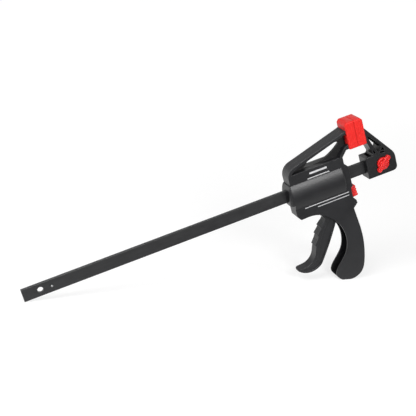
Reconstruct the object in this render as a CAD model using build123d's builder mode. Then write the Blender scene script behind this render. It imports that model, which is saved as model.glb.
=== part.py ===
from build123d import *
import os
from math import atan2, cos, degrees, radians, sin, tan

# One-handed quick release bar clamp, jaws closed.
# X runs along the bar: the moving body is on the -X side of the clamping plane,
# the fixed jaw on the +X side. Z points from the bar to the pads, Y is the thickness.
# The origin is on the bar's centre line, in the plane where the two pads meet.

# gaps
fit_gap = 0.1           # between pieces that stay together
run_gap = 0.3           # between pieces that move past each other
pin_gap = 0.05          # radial, round pins in their bores
pad_gap = 0.3           # between the two closed pads

# bar
bar_height = 17.5
bar_thick = 5.0
bar_tail = 487.5        # clamping plane to the tail end
bar_nose = 48.0         # clamping plane to the end inside the fixed jaw
bar_edge = 0.5          # chamfer on the long edges
tail_hole_radius = 4.0
tail_hole_inset = 24.0  # from the tail end
stop_pin_radius = 1.5
stop_pin_inset = 39.5   # from the tail end
stop_pin_stand = 2.0    # how far the pin stands out on each side

# moving body, a pair of moulded shells
wall = 2.4
body_half = 11.0        # half thickness of the lower panel and the grip
arm_half = 12.3         # half thickness of the upper panel and the jaw arm
bulge_half = 16.6       # half thickness of the barrel over the spring
body_left = -106.8
body_right = -19.4
body_corner = 17.0      # outer radius where the arm turns down
corner_run = 4.6        # bevel under the front of the body, along x
corner_rise = 6.0       # and along z
corner_round = 3.0      # its lower corner
shoulder_run = 7.0      # bevel hidden under the arm's round corner
shoulder_drop = 11.0
arm_slope = 16.0        # degrees, rise of the arm towards the pad
arm_root_z = 64.5       # top of the arm where it meets the pad
panel_top = 30.6        # rim between the flat panel and the recessed web
panel_foot = 15.0       # where the upper panel meets the barrel
underside = -36.6
nose_left = -112.4
nose_shoulder = -108.0   # its end face leans back above this far
nose_lean_z = -3.0       # and starts to lean here
barrel_right = -29.5
barrel_top = 16.0
barrel_foot = -21.0
nose_foot = -12.5       # the nose round the bar ends higher than the barrel
barrel_crest = 3.0      # height of the widest line of the barrel
barrel_ledge = 4.2      # from the top of its curve out to the crest
barrel_round = 1.6      # rounding of its right end
barrel_dome = 6.0       # and of its left end
flange = 4.3            # rim of the jaw arm
web_half = 2.5          # half thickness of the recessed web in the arm
throat_x = -25.0
recess_foot = 45.0      # the rim along the throat is this high where it meets the pad
grip_bottom = -151.0
button_top = -16.6
button_foot = -36.4
outer_edge = 0.8        # rounding of the outer edges

# pads
pad_top = 75.2
pad_foot = 37.2
pad_half = 14.5
pad_side = 2.1          # side wall
pad_face = 3.2          # thickness in front of the jaw
pad_roof = 3.0
pad_depth = 13.4        # from the clamping plane back along the jaw
pad_back = 1.8          # wall behind the tip of the jaw
pad_round = 2.2
pad_seam = 0.6          # above the arm where the pad's back opens

# trigger
pivot_x = -66.0
pivot_z = -30.0
trigger_pin_radius = 2.5
trigger_hub_radius = 8.0
trigger_hub_step = 1.4  # the hub is narrower than the blade on each side
trigger_floor = 2.0     # y where the deep hollow of its near side ends
trigger_web = 2.2       # wall behind that hollow
trigger_rim = 2.2
trigger_lip = 5.0
trigger_edge = 0.7      # rounding of its outer edges
pocket_below_pin = 13.0  # the sunk sides start this far under the pin
nose_radius = 3.0
nose_rise = 15.5        # pivot to the centre of the pushing nose
tip_round = 5.5         # rounding of the tip, seen from above
ridge_stand = 1.9       # how far the finger ridges stand out
ridge_run = 8.0         # length of a ridge's slope
ridge_inset = 0.6       # from the sides of the blade
ridge_places = [0.25, 0.49, 0.79]   # along the front curve

# driving levers and their spring
lever_thick = 2.5
lever_half = 9.0
lever_tail_half = 6.0   # narrower end that the trigger pushes
lever_over = 3.95       # above the bar's slot
lever_under = 3.45      # from the bar's slot down to the shoulder
lever_foot = -21.0
lever_gap = 0.2
drive_wire = 1.7
drive_coil_radius = 11.2
drive_turns = 5

# brake lever, its button and spring
brake_x = -27.0
brake_z = 11.5
brake_tilt = 6.0        # degrees off square when it grips
brake_thick = 3.0
brake_half = 6.5
brake_end_gap = 2.5     # its lower end stays this far above the button's foot
brake_top_over = 0.8    # above the tilting line
button_half = 6.8
button_depth = 8.6
button_height = 15.8
button_round = 1.6
button_rivet_radius = 1.5
button_rivet_depth = 4.0
brake_spring_z = -14.6
brake_wire = 0.8
brake_coil_radius = 2.8
brake_turns = 4
spring_rib = 2.4

# fixed jaw
jaw_half = 11.4
jaw_left = 6.8
jaw_right = 51.0
jaw_foot = -15.6
jaw_roof = 15.6
jaw_flange = 4.6
jaw_web_half = 1.6
jaw_round = 6.5         # lower corner
jaw_shoulder = 17.0     # upper corner
jaw_throat = 3.0        # where the front flange meets the block
jaw_corner_z = 9.4      # the arm's outer line meets the end of the jaw here
jaw_arm_top = 59.4
jaw_front_x = 20.5      # foot of the slanted front flange
jaw_front_z = 28.0      # its face bends here
jaw_front_bend = 16.8
jaw_pad_x = 13.2        # and comes out under the pad here
window_ledge = 2.1      # web left between the window and the outer flange
window_top = 45.0
window_tip = 15.9       # x of its upper left corner
window_bend = 25.5      # the window's right side leaves the outer flange here
window_foot = (28.4, 18.4)
window_left = (25.6, 20.2)
roof_hollow_left = 12.5
roof_hollow_right = 17.5
roof_hollow_depth = 3.5

# lock of the fixed jaw
knob_x = 31.0
knob_radius = 8.6
knob_recess_radius = 10.2
knob_recess = 3.6
knob_flange = 1.2
knob_proud = 2.0        # disc above the jaw's face
wing_length = 27.0
wing_width = 6.6
wing_angle = 42.0       # degrees from the bar when locked
wing_proud = 4.2
sleeve_radius = 4.6
lock_pin_radius = 3.0
lock_stem_radius = 1.4
lock_stem = 2.6
lock_end_gap = 1.0      # left between the drawn pin and the knob
knob_roof = 1.2
lock_wire = 0.6
lock_coil_radius = 2.1
lock_turns = 4

# shell screws: x, z and the half thickness where the head sits
screw_radius = 1.45
screw_head_radius = 2.8
screw_head = 1.8
screw_sink = 2.6
boss_radius = 3.4
screw_places = [
    (body_left + 10, panel_top - 7.1, arm_half),
    (throat_x - 8, panel_top - 7.1, arm_half),
    (body_left + 8, underside + 7.6, body_half),
    (-31.0, -48.0, body_half),
    (-38.0, grip_bottom + 12, body_half),
]

# worked out from the sizes above
slot_y = bar_thick / 2 + run_gap
slot_z = bar_height / 2 + run_gap
inner_half = body_half - wall
trigger_half = inner_half - 2 * run_gap
trigger_hub_half = trigger_half - trigger_hub_step
lever_back = pivot_x - nose_radius - lever_gap
lever_front = lever_back - 2 * lever_thick - lever_gap
lever_top = slot_z + lever_over
lever_shoulder = -slot_z - lever_under
spring_wall_x = nose_left + 8.9
slope = tan(radians(arm_slope))
post_top = pad_top - pad_roof - fit_gap
post_front = -(pad_gap / 2 + pad_face + fit_gap)
post_half = pad_half - pad_side - fit_gap
post_back = -pad_depth + pad_back + fit_gap
mouth_start = 0.06      # shares of the grip's curve where the hollow is open
mouth_end = 0.5
mouth_x = pivot_x - trigger_hub_radius - 2.5
spring_seat_x = brake_x - 10.0
guide_top = 17.0
guide_foot = brake_spring_z - brake_coil_radius - 3
pin_boss_radius = trigger_pin_radius + 2.5
trigger_pin_half = inner_half + 1.0
screw_bite = 6.5
lock_stroke = bar_thick - fit_gap + run_gap


def arm_line(x):
    """Height of the arm's outer line at x."""
    return arm_root_z + (x + pad_depth) * slope


def recess_line(x):
    """Height of the upper side of the arm's sunk field at x."""
    return arm_line(x) - flange / cos(radians(arm_slope))


os.makedirs("parts", exist_ok=True)


def save(builder, name):
    builder.part.label = name
    export_step(builder.part, f"parts/{name}.step")


# bar and what is fixed to it

with BuildPart() as bar:
    with Locations(((bar_nose - bar_tail) / 2, 0, 0)):
        Box(bar_nose + bar_tail, bar_thick, bar_height)
    chamfer(bar.edges().filter_by(Axis.X), bar_edge)
    with BuildSketch(Plane.XZ):
        with Locations((-bar_tail + tail_hole_inset, 0)):
            Circle(tail_hole_radius)
        with Locations((-bar_tail + stop_pin_inset, 0)):
            Circle(stop_pin_radius + pin_gap)
        with Locations((knob_x, 0)):
            Circle(lock_pin_radius + pin_gap)
    extrude(amount=bar_thick, both=True, mode=Mode.SUBTRACT)
save(bar, "bar")

with BuildPart() as stop_pin:
    with BuildSketch(Plane.XZ):
        with Locations((-bar_tail + stop_pin_inset, 0)):
            Circle(stop_pin_radius)
    extrude(amount=bar_thick / 2 + stop_pin_stand, both=True)
    chamfer(stop_pin.edges(), 0.3)
save(stop_pin, "stop_pin")


# moving body

def body_outline():
    """Lower panel, throat, horn and pistol grip, seen from the side, and its long curve."""
    with BuildSketch(Plane.XZ) as outline:
        with BuildLine():
            Polyline(
                (throat_x, panel_top), (body_left + shoulder_run, panel_top),
                (body_left, panel_top - shoulder_drop), (body_left, underside + corner_rise),
                (body_left + corner_run, underside - 0.4), (body_left + 12, underside),
            )
            curve = Spline(
                (body_left + 12, underside), (-77, -38.7), (-62, -48.5), (-49, -66),
                (-44.3, -86), (-50, -108.5),
                (-66, -126.3), (-70.8, -135.3), (-66.2, -145), (-50.5, grip_bottom), (-34, -145.8),
                (-24.6, -126.5), (-20.3, -92), (-24.2, -48.2),
                tangents=[(12 - corner_run, 0.4), (-0.1, 1)], tangent_scalars=[1, 1],
            )
            Polyline(
                (-24.2, -48.2), (-17.4, -42.2), (-18.2, -37.4), (-22, button_foot + 4),
                (-22, button_top - 2), (body_right, button_top + 1), (body_right, 13.8),
                (throat_x, 20), (throat_x, panel_top),
            )
        make_face()
        corner = (body_left + corner_run, underside - 0.4)
        fillet(outline.vertices().sort_by_distance(corner)[0], corner_round)
    return outline, curve


def arm_outline():
    """Upper panel and jaw arm, up to the post that carries the pad."""
    with BuildSketch(Plane.XZ) as outline:
        with BuildLine():
            Polyline(
                (throat_x, panel_foot), (body_left, panel_foot), (body_left, arm_line(body_left)),
                (-pad_depth, arm_root_z), (-pad_depth, pad_foot + 0.6), (-17.5, pad_foot + 0.6),
                (throat_x, panel_top - 1), (throat_x, panel_foot),
            )
        make_face()
        turn = outline.vertices().sort_by(Axis.X)[:2].sort_by(Axis.Y)[-1]
        fillet(turn, body_corner)
    return outline


def inset_points(curve, start, end, count, depth):
    """Points beside a curve, at one depth on its left, between two shares of its length."""
    points = []
    for step in range(count):
        share = start + (end - start) * step / (count - 1)
        spot = curve @ share
        along = curve % share
        points.append((spot.X - along.Y * depth, spot.Y + along.X * depth))
    return points


def recess_outline():
    """Sunk field of the arm: the arm less its rim, above the flat panel."""
    with BuildSketch(Plane.XZ) as outline:
        add(arm_face.sketch_local)
        offset(amount=-flange, mode=Mode.REPLACE)
        with Locations(((body_left + body_right) / 2, panel_top + 30)):
            Rectangle(body_right - body_left, 60, mode=Mode.INTERSECT)
        # on to the back of the pad
        corner = outline.vertices().sort_by(Axis.X)[-2:].sort_by(Axis.Y)[0]
        x = corner.X - flange
        with BuildLine():
            Polyline(
                (x, recess_line(x)), (post_back, recess_line(post_back)), (post_back, recess_foot),
                (corner.X, corner.Y), (x, corner.Y), (x, recess_line(x)),
            )
        make_face()
    return outline


def window_outline():
    """Leaf shaped hole through the web of the arm."""
    with BuildSketch(Plane.XZ) as outline:
        with BuildLine():
            ThreePointArc((-79, 31.6), (-45, 34.6), (-21.5, 49.2))
            Spline((-21.5, 49.2), (-32.5, 51.2), (-52, 47.2), (-68, 40.6), (-79, 31.6))
        make_face()
    return outline


def barrel_section(inset):
    """Half of the barrel's cross section, from the middle plane outwards."""
    top = barrel_top - inset
    foot = barrel_foot + inset
    with BuildSketch(Plane.YZ.offset(nose_left)) as section:
        with BuildLine():
            Polyline((0, foot), (0, top), (-bulge_half + barrel_ledge + inset, top))
            ThreePointArc(
                (-bulge_half + barrel_ledge + inset, top), (-bulge_half + inset, barrel_crest),
                (-body_half + wall / 2 + inset, foot),
            )
            Line((-body_half + wall / 2 + inset, foot), (0, foot))
        make_face()
    return section


body_face, grip_curve = body_outline()
arm_face = arm_outline()
recess_face = recess_outline()
window_face = window_outline()

with BuildPart() as body_block:
    extrude(body_face.sketch, amount=body_half)
    fillet(body_block.faces().sort_by(Axis.Y)[0].edges(), outer_edge)

with BuildPart() as arm_block:
    extrude(arm_face.sketch, amount=arm_half)
    fillet(arm_block.faces().sort_by(Axis.Y)[0].edges(), outer_edge)

with BuildPart() as barrel_block:
    extrude(barrel_section(0).sketch, amount=barrel_right - nose_left)
    ends = barrel_block.faces().filter_by(Axis.X).edges() - barrel_block.faces().sort_by(Axis.Y)[-1].edges()
    left_end, right_end = ends.group_by(Axis.Y)[0].sort_by(Axis.X)
    fillet(right_end, barrel_round)
    fillet(left_end, barrel_dome)
    with Locations((nose_left, -bulge_half / 2, nose_foot - 10)):
        Box(2 * (body_left - nose_left), 2 * bulge_half, 20, mode=Mode.SUBTRACT)
    with BuildSketch(Plane.XZ):
        with BuildLine():
            ThreePointArc((nose_shoulder, barrel_top), (-111, 7), (nose_left, nose_lean_z))
            Polyline(
                (nose_left, nose_lean_z), (nose_left - 1, nose_lean_z), (nose_left - 1, barrel_top + 1),
                (nose_shoulder, barrel_top + 1), (nose_shoulder, barrel_top),
            )
        make_face()
    extrude(amount=2 * bulge_half, mode=Mode.SUBTRACT)

with BuildPart() as half_shell:
    # solid outer form, on the -Y side of the middle plane
    add(body_block.part)
    add(arm_block.part)
    add(barrel_block.part)
    with BuildSketch(Plane.XZ):
        with BuildLine():
            Polyline(
                (-pad_depth - 1, pad_foot + 1), (-pad_depth - 1, arm_line(-pad_depth - 1)),
                (post_back, arm_root_z + 0.6), (post_back, post_top), (post_front, post_top),
                (post_front, pad_foot + 1), (-pad_depth - 1, pad_foot + 1),
            )
        make_face()
    extrude(amount=post_half)
    # sunk web and leaf window
    extrude(Pos(0, -web_half, 0) * recess_face.sketch, amount=arm_half, mode=Mode.SUBTRACT)
    extrude(window_face.sketch, amount=arm_half, mode=Mode.SUBTRACT)
    # hollow chamber and grip channel, open along the trigger side
    front_points = inset_points(grip_curve, 0.0, mouth_start, 3, wall)
    back_points = inset_points(grip_curve, mouth_end, 1.0, 8, wall)
    with BuildSketch(Plane.XZ):
        with BuildLine():
            Polyline(
                back_points[-1], (-22 - wall, button_foot + 4), (-22 - wall, button_top - 2),
                (body_right - wall, button_top - 1), (body_right - wall, 12.8), (throat_x - wall, 19),
                (throat_x - wall, panel_top - wall), (body_left + shoulder_run + wall, panel_top - wall),
                (body_left + wall, panel_top - shoulder_drop), (body_left + wall, underside + corner_rise),
                (body_left + corner_run + wall / 2, underside + wall),
                front_points[0],
            )
            Spline(*front_points)
            Polyline(
                front_points[-1], (mouth_x, -46), (-60, -62), (-54, -84), (-60, -106), (-79, -124),
                (-77, -138), back_points[0],
            )
            Spline(*back_points)
        make_face()
    extrude(amount=inner_half, mode=Mode.SUBTRACT)
    # room for the spring and the levers inside the barrel
    hollow = extrude(
        Pos(spring_wall_x - nose_left, 0, 0) * barrel_section(wall).sketch,
        amount=barrel_right - wall - spring_wall_x, mode=Mode.SUBTRACT,
    )
    # frame that guides the bar and seats the brake spring
    with Locations((spring_seat_x - spring_rib / 2, -inner_half / 2, (guide_top + guide_foot) / 2)):
        Box(spring_rib, inner_half, guide_top - guide_foot)
    # notch that lodges the upper end of the brake lever
    notch_low = brake_x - brake_thick / 2 - run_gap
    notch_high = brake_x + brake_thick / 2 + run_gap
    for x_low, x_high in ((notch_low - wall, notch_low), (notch_high, body_right - wall - 0.5)):
        with Locations(((x_low + x_high) / 2, -inner_half / 2, brake_z)):
            Box(x_high - x_low, inner_half, 2 * (brake_z - slot_z))
    # bosses of the trigger pin and the screws
    with BuildSketch(Plane.XZ.offset(trigger_hub_half + run_gap)):
        with Locations((pivot_x, pivot_z)):
            Circle(pin_boss_radius)
    extrude(amount=inner_half - trigger_hub_half)
    for x, z, face in screw_places:
        with BuildSketch(Plane.XZ):
            with Locations((x, z)):
                Circle(boss_radius)
        extrude(amount=inner_half + wall / 2)
    # passage of the bar
    Box(400, 2 * slot_y, 2 * slot_z, mode=Mode.SUBTRACT)
    # window in the back for the release button
    with Locations((body_right - wall, 0, (button_top + button_foot) / 2)):
        Box(2 * wall + 6.4, 2 * (button_half + run_gap + 0.2), button_top - button_foot, mode=Mode.SUBTRACT)
    # blind bore of the trigger pin
    with BuildSketch(Plane.XZ):
        with Locations((pivot_x, pivot_z)):
            Circle(trigger_pin_radius + pin_gap)
    extrude(amount=trigger_pin_half + fit_gap, mode=Mode.SUBTRACT)

with BuildPart() as near_shell:
    add(half_shell.part)
    for x, z, face in screw_places:
        with BuildSketch(Plane.XZ):
            with Locations((x, z)):
                Circle(screw_radius + pin_gap)
        extrude(amount=screw_bite + fit_gap, mode=Mode.SUBTRACT)
save(near_shell, "near_shell")

with BuildPart() as far_shell:
    add(mirror(half_shell.part, about=Plane.XZ, mode=Mode.PRIVATE))
    for x, z, face in screw_places:
        with BuildSketch(Plane.XZ):
            with Locations((x, z)):
                Circle(screw_radius + pin_gap)
        extrude(amount=-face, mode=Mode.SUBTRACT)
        with BuildSketch(Plane.XZ.offset(-face + screw_sink)):
            with Locations((x, z)):
                Circle(screw_head_radius + fit_gap)
        extrude(amount=-screw_sink - 5, mode=Mode.SUBTRACT)
save(far_shell, "far_shell")

with BuildPart() as shell_screws:
    for x, z, face in screw_places:
        seat = face - screw_sink
        with BuildSketch(Plane.XZ.offset(-seat)):
            with Locations((x, z)):
                Circle(screw_radius)
        extrude(amount=seat + screw_bite)
        with BuildSketch(Plane.XZ.offset(-seat)):
            with Locations((x, z)):
                Circle(screw_head_radius)
        extrude(amount=-screw_head)
        with BuildSketch(Plane.XZ.offset(-seat - screw_head)):
            with Locations((x, z)):
                Rectangle(2.6, 0.6)
                Rectangle(0.6, 2.6)
        extrude(amount=0.9, mode=Mode.SUBTRACT)
save(shell_screws, "shell_screws")

with BuildPart() as trigger_pin:
    with BuildSketch(Plane.XZ):
        with Locations((pivot_x, pivot_z)):
            Circle(trigger_pin_radius)
    extrude(amount=trigger_pin_half, both=True)
    chamfer(trigger_pin.edges(), 0.4)
save(trigger_pin, "trigger_pin")


# pads

def soft_pad(arm_top):
    """Cap over the tip of a jaw, with the clamping face towards +X and its back open for the arm."""
    with BuildPart() as pad:
        with Locations((-(pad_gap / 2 + pad_depth) / 2, 0, (pad_top + pad_foot) / 2)):
            Box(pad_depth - pad_gap / 2, 2 * pad_half, pad_top - pad_foot)
        fillet(pad.edges().filter_by(Axis.X).group_by(Axis.Z)[-1], pad_round)
        tip_depth = -post_back + post_front + 2 * fit_gap
        tip_height = post_top + fit_gap - pad_foot + 1
        with Locations(((post_front + post_back) / 2, 0, post_top + fit_gap - tip_height / 2)):
            Box(tip_depth, 2 * (post_half + fit_gap), tip_height, mode=Mode.SUBTRACT)
        arm_height = arm_top + pad_seam - pad_foot + 1
        with Locations((-pad_depth, 0, arm_top + pad_seam - arm_height / 2)):
            Box(3 * pad_back, 2 * (post_half + fit_gap), arm_height, mode=Mode.SUBTRACT)
    return pad


with BuildPart() as moving_pad:
    add(soft_pad(arm_root_z).part)
    # the back closes the sunk field on both sides of the arm's web
    panel_low = recess_foot + fit_gap
    panel_high = recess_line(-pad_depth) - fit_gap
    panel_inner = web_half + fit_gap
    panel_outer = post_half + 2 * fit_gap
    panel_y = (panel_inner + panel_outer) / 2
    panel_z = (panel_low + panel_high) / 2
    with Locations([(-pad_depth + pad_back / 2, side * panel_y, panel_z) for side in (1, -1)]):
        Box(pad_back, panel_outer - panel_inner, panel_high - panel_low)
save(moving_pad, "moving_pad")

with BuildPart() as fixed_pad:
    add(mirror(soft_pad(jaw_arm_top).part, about=Plane.YZ, mode=Mode.PRIVATE))
save(fixed_pad, "fixed_pad")


# trigger

trigger_plane = Plane(origin=(pivot_x, 0, pivot_z), x_dir=(1, 0, 0), z_dir=(0, -1, 0))


def trigger_outline():
    """Lever with a hooked tip, seen from the side and drawn from its pin, and its front curve."""
    with BuildSketch(trigger_plane) as outline:
        with BuildLine():
            front = ThreePointArc((-1.5, -20.5), (-16.4, -40.4), (-26.7, -63.8))
            ThreePointArc((-26.7, -63.8), (-33, -73.2), (-46, -78.4))
            Line((-46, -78.4), (-55, -79))
            ThreePointArc((-55, -79), (-56.9, -80.8), (-55, -82.6))
            ThreePointArc((-55, -82.6), (-40.6, -88.6), (-21, -82))
            ThreePointArc((-21, -82), (-6.4, -61.1), (10, -34))
            Polyline((10, -34), (14.8, -25), (13.5, -16), (7.6, -4), (-2, 4))
            Polyline((-2, 4), (-7.6, -2), (-7, -10), (-1.5, -20.5))
        make_face()
    return outline, front


trigger_face, trigger_front = trigger_outline()

with BuildPart() as trigger:
    extrude(trigger_face.sketch, amount=trigger_half, both=True)
    fillet(trigger.faces().filter_by(Axis.Y).edges(), trigger_edge)
    # tip rounded as seen from above
    tip_x = trigger_face.sketch.bounding_box().min.X
    for side in (1, -1):
        with BuildSketch(Plane.XY.offset(pivot_z)):
            with Locations((tip_x + tip_round / 2, side * (trigger_half - tip_round / 2))):
                Rectangle(tip_round, tip_round)
            with Locations((tip_x + tip_round, side * (trigger_half - tip_round))):
                Circle(tip_round, mode=Mode.SUBTRACT)
        extrude(amount=-100, mode=Mode.SUBTRACT)
    # stepped ridges under the finger
    for place in ridge_places:
        spot = trigger_front @ place
        along = trigger_front % place
        out = Vector(along.Y, -along.X, 0)
        with BuildSketch(trigger_plane):
            with BuildLine():
                corners = [
                    spot - along * ridge_run, spot + out * ridge_stand,
                    spot + along * ridge_stand - out, spot - along * ridge_run - out,
                ]
                Polyline(*corners, corners[0])
            make_face()
        extrude(amount=trigger_half - ridge_inset, both=True)
    # sunk sides that leave a lip in front, a rim behind and a web between
    with BuildSketch(trigger_plane) as pocket:
        add(trigger_face.sketch_local)
        offset(amount=-trigger_rim, mode=Mode.REPLACE)
        add(Pos(trigger_lip - trigger_rim, 0) * pocket.sketch_local, mode=Mode.INTERSECT)
        with Locations((0, -pocket_below_pin - 100)):
            Rectangle(200, 200, mode=Mode.INTERSECT)
    for side, level in ((1, trigger_floor), (-1, trigger_floor + trigger_web)):
        extrude(Pos(0, level, 0) * pocket.sketch, amount=side * 2 * trigger_half, mode=Mode.SUBTRACT)
    # narrower hub, and the arm whose nose pushes the driving levers
    with BuildSketch(trigger_plane) as hub_room:
        Circle(trigger_hub_radius + 1)
    for side in (1, -1):
        extrude(
            Pos(0, -side * trigger_hub_half, 0) * hub_room.sketch,
            amount=side * trigger_half, mode=Mode.SUBTRACT,
        )
    with BuildSketch(trigger_plane):
        Circle(trigger_hub_radius)
        with Locations((0, nose_rise)):
            Circle(nose_radius)
        with Locations((0.4, nose_rise / 2)):
            Rectangle(2 * nose_radius - 0.8, nose_rise)
    extrude(amount=trigger_hub_half, both=True)
    with BuildSketch(trigger_plane):
        Circle(trigger_pin_radius + pin_gap)
    extrude(amount=trigger_half, both=True, mode=Mode.SUBTRACT)
save(trigger, "trigger")


# driving levers and spring

def coil_spring(start, length, radius, wire, turns, direction):
    """Open coil round a straight axis."""
    with BuildPart() as spring:
        with BuildLine() as path:
            Helix(length / turns, length, radius, center=start, direction=direction)
        with BuildSketch(Plane(path.line @ 0, z_dir=path.line % 0)):
            Circle(wire / 2)
        sweep(is_frenet=True)
    return spring


def driving_lever(x_low):
    """Hardened plate that hangs round the bar."""
    with BuildPart() as lever:
        with BuildSketch(Plane.YZ.offset(x_low)):
            with BuildLine():
                Polyline(
                    (-lever_half, lever_top), (lever_half, lever_top), (lever_half, lever_shoulder),
                    (lever_tail_half, lever_shoulder - 2.5), (lever_tail_half, lever_foot),
                    (-lever_tail_half, lever_foot), (-lever_tail_half, lever_shoulder - 2.5),
                    (-lever_half, lever_shoulder), (-lever_half, lever_top),
                )
            make_face()
            Rectangle(2 * slot_y, 2 * slot_z, mode=Mode.SUBTRACT)
        extrude(amount=lever_thick)
        fillet(lever.edges().filter_by(Axis.X).group_by(Axis.Z)[-1], 2)
    return lever


front_lever = driving_lever(lever_front)
save(front_lever, "front_driving_lever")
back_lever = driving_lever(lever_back - lever_thick)
save(back_lever, "back_driving_lever")

drive_start = spring_wall_x + drive_wire / 2 + fit_gap
drive_spring = coil_spring(
    (drive_start, 0, 0), lever_front - drive_wire / 2 - run_gap - drive_start,
    drive_coil_radius, drive_wire, drive_turns, (1, 0, 0),
)
save(drive_spring, "drive_spring")


# brake lever, release button and spring

lean = radians(brake_tilt)
brake_plane = Plane(
    origin=(brake_x, 0, brake_z), x_dir=(0, 1, 0), z_dir=(cos(lean), 0, sin(lean)),
)
bar_down = brake_z / cos(lean)
brake_slot_z = slot_z / cos(lean) + brake_thick / 2 * tan(lean)
button_down = (brake_z - (button_top + button_foot) / 2) / cos(lean)
brake_length = (brake_z - button_foot - brake_end_gap) / cos(lean)

with BuildPart() as brake_lever:
    with BuildSketch(brake_plane.offset(-brake_thick / 2)):
        with Locations((0, brake_top_over - (brake_length + brake_top_over) / 2)):
            Rectangle(2 * brake_half, brake_length + brake_top_over)
        with Locations((0, -bar_down)):
            Rectangle(2 * slot_y, 2 * brake_slot_z, mode=Mode.SUBTRACT)
        with Locations((0, -button_down)):
            Circle(button_rivet_radius + pin_gap, mode=Mode.SUBTRACT)
    extrude(amount=brake_thick)
save(brake_lever, "brake_lever")

with BuildPart() as release_button:
    with BuildSketch(brake_plane.offset(brake_thick / 2 + fit_gap)):
        with Locations((0, -button_down)):
            Rectangle(2 * button_half, button_height)
    extrude(amount=button_depth)
    fillet(release_button.faces().sort_by(Axis.X)[-1].edges(), button_round)
    with BuildSketch(brake_plane):
        with Locations((0, -button_down)):
            Circle(button_rivet_radius + pin_gap)
    extrude(amount=brake_thick / 2 + button_rivet_depth, mode=Mode.SUBTRACT)
save(release_button, "release_button")

with BuildPart() as button_rivet:
    with BuildSketch(brake_plane.offset(-brake_thick / 2)):
        with Locations((0, -button_down)):
            Circle(button_rivet_radius)
    extrude(amount=brake_thick + button_rivet_depth)
    with BuildSketch(brake_plane.offset(-brake_thick / 2)):
        with Locations((0, -button_down)):
            Circle(2 * button_rivet_radius)
    extrude(amount=-0.8)
save(button_rivet, "button_rivet")

brake_face_x = brake_x + (brake_z - brake_spring_z) * tan(lean) - brake_thick / 2 / cos(lean)
brake_spring_start = spring_seat_x + brake_wire / 2 + fit_gap
brake_spring_end = brake_face_x - (brake_coil_radius + brake_wire) * tan(lean) - brake_wire / 2 - fit_gap
brake_spring = coil_spring(
    (brake_spring_start, 0, brake_spring_z), brake_spring_end - brake_spring_start,
    brake_coil_radius, brake_wire, brake_turns, (1, 0, 0),
)
save(brake_spring, "brake_spring")


# fixed jaw

jaw_lean = atan2(jaw_arm_top - jaw_corner_z, jaw_right - pad_depth)


def jaw_line(z, inset=0):
    """x of the jaw's slanted outer line at height z, or of a line inside it."""
    return jaw_right - (z - jaw_corner_z) / tan(jaw_lean) - inset / sin(jaw_lean)


def jaw_hollow(*corners):
    """Sunk field in the side of the jaw, with slightly rounded corners."""
    with BuildSketch(Plane.XZ) as outline:
        with BuildLine():
            Polyline(*corners, corners[0])
        make_face()
        fillet(outline.vertices(), 0.5)
    return outline


# triangle between the front member and the outer flange, and the hole through its web
window_face = jaw_hollow(
    (window_tip, window_top), window_left, window_foot,
    (jaw_line(window_bend, jaw_flange), window_bend), (jaw_line(window_top, jaw_flange), window_top),
)
hole_flange = jaw_flange + window_ledge
hole_top = window_top - 2 * window_ledge
hole_bend = window_bend - window_ledge
hole_tip = window_tip + (window_top - hole_top) * (window_left[0] - window_tip) / (window_top - window_left[1])
window_hole = jaw_hollow(
    (hole_tip, hole_top), window_left, window_foot,
    (jaw_line(hole_bend, hole_flange), hole_bend), (jaw_line(hole_top, hole_flange), hole_top),
)
# smaller fields round the window's foot
heel_face = jaw_hollow((18.8, 27), (23.8, 18), (20.9, 18))
upper_heel = jaw_hollow((31.4, 19.8), (37.6, 18.2), (34.4, 23.6))
lower_heel = jaw_hollow((29.8, 15.2), (37.4, 15.2), (37.2, 16.6), (30.4, 18.2))


with BuildPart() as jaw_block:
    with BuildSketch(Plane.XZ) as jaw_face:
        with BuildLine():
            Polyline(
                (jaw_left, jaw_foot), (jaw_right, jaw_foot), (jaw_right, jaw_corner_z),
                (jaw_line(jaw_arm_top), jaw_arm_top), (5, jaw_arm_top), (5, pad_foot + 1),
                (jaw_pad_x, pad_foot + 1), (jaw_front_bend, jaw_front_z), (jaw_front_x, jaw_roof),
                (jaw_left, jaw_roof), (jaw_left, jaw_foot),
            )
        make_face()
        fillet(jaw_face.vertices().sort_by_distance((jaw_right, jaw_foot))[0], jaw_round)
        fillet(jaw_face.vertices().sort_by_distance((jaw_right, jaw_corner_z))[0], jaw_shoulder)
        fillet(jaw_face.vertices().sort_by_distance((jaw_front_x, jaw_roof))[0], jaw_throat)
    extrude(amount=jaw_half, both=True)
    fillet(jaw_block.faces().filter_by(Axis.Y).edges(), outer_edge)

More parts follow.
